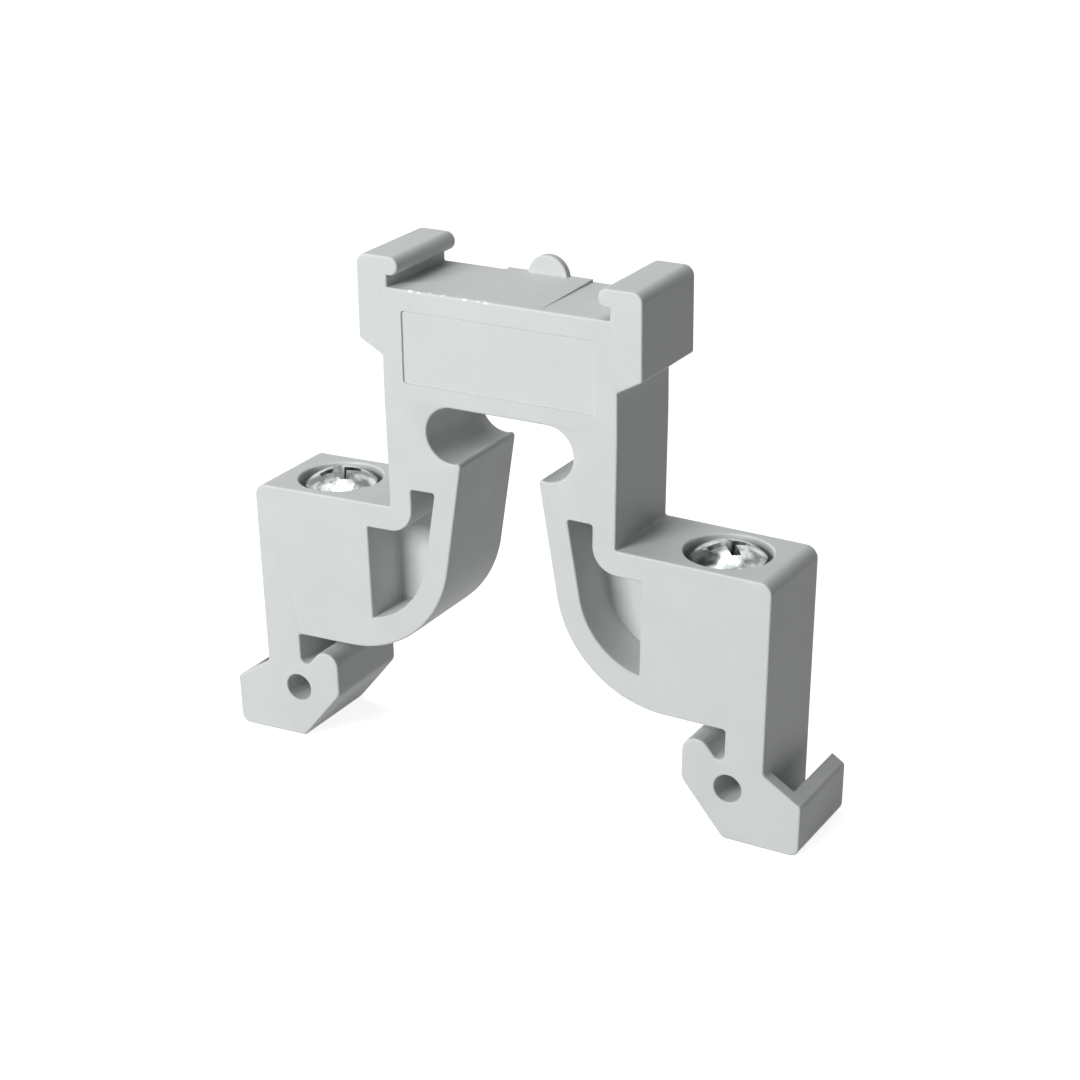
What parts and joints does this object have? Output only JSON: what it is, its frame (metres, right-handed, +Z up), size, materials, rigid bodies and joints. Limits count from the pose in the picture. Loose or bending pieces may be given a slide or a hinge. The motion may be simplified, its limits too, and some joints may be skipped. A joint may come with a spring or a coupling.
{
  "type": "din rail end stop",
  "caption": "Grey plastic end stop for a mounting rail, with clamping screws, a hooked marker channel on top and a blank label field.",
  "frame": {"origin": "middle of the clip at the level where the rail edges seat, halfway through its thickness", "axes": "+X across the rail, +Y along the rail towards the clip's back, +Z up, away from the rail"},
  "size_m": [0.0506, 0.0086, 0.0419],
  "materials": {
    "body": "fine moulded texture",
    "screws": "bright zinc plated"
  },
  "bodies": {
    "clip": {"body": "body"},
    "left_screw": {"screw_left": "screws"},
    "right_screw": {"screw_right": "screws"}
  },
  "joints": [
    {"name": "left_screw_travel", "type": "slide", "parent": "clip", "child": "left_screw", "axis": [0.0209, 0, -0.9998], "range_m": [-0.004, 0.002]},
    {"name": "right_screw_travel", "type": "slide", "parent": "clip", "child": "right_screw", "axis": [-0.0209, 0, -0.9998], "range_m": [-0.004, 0.002]}
  ]
}
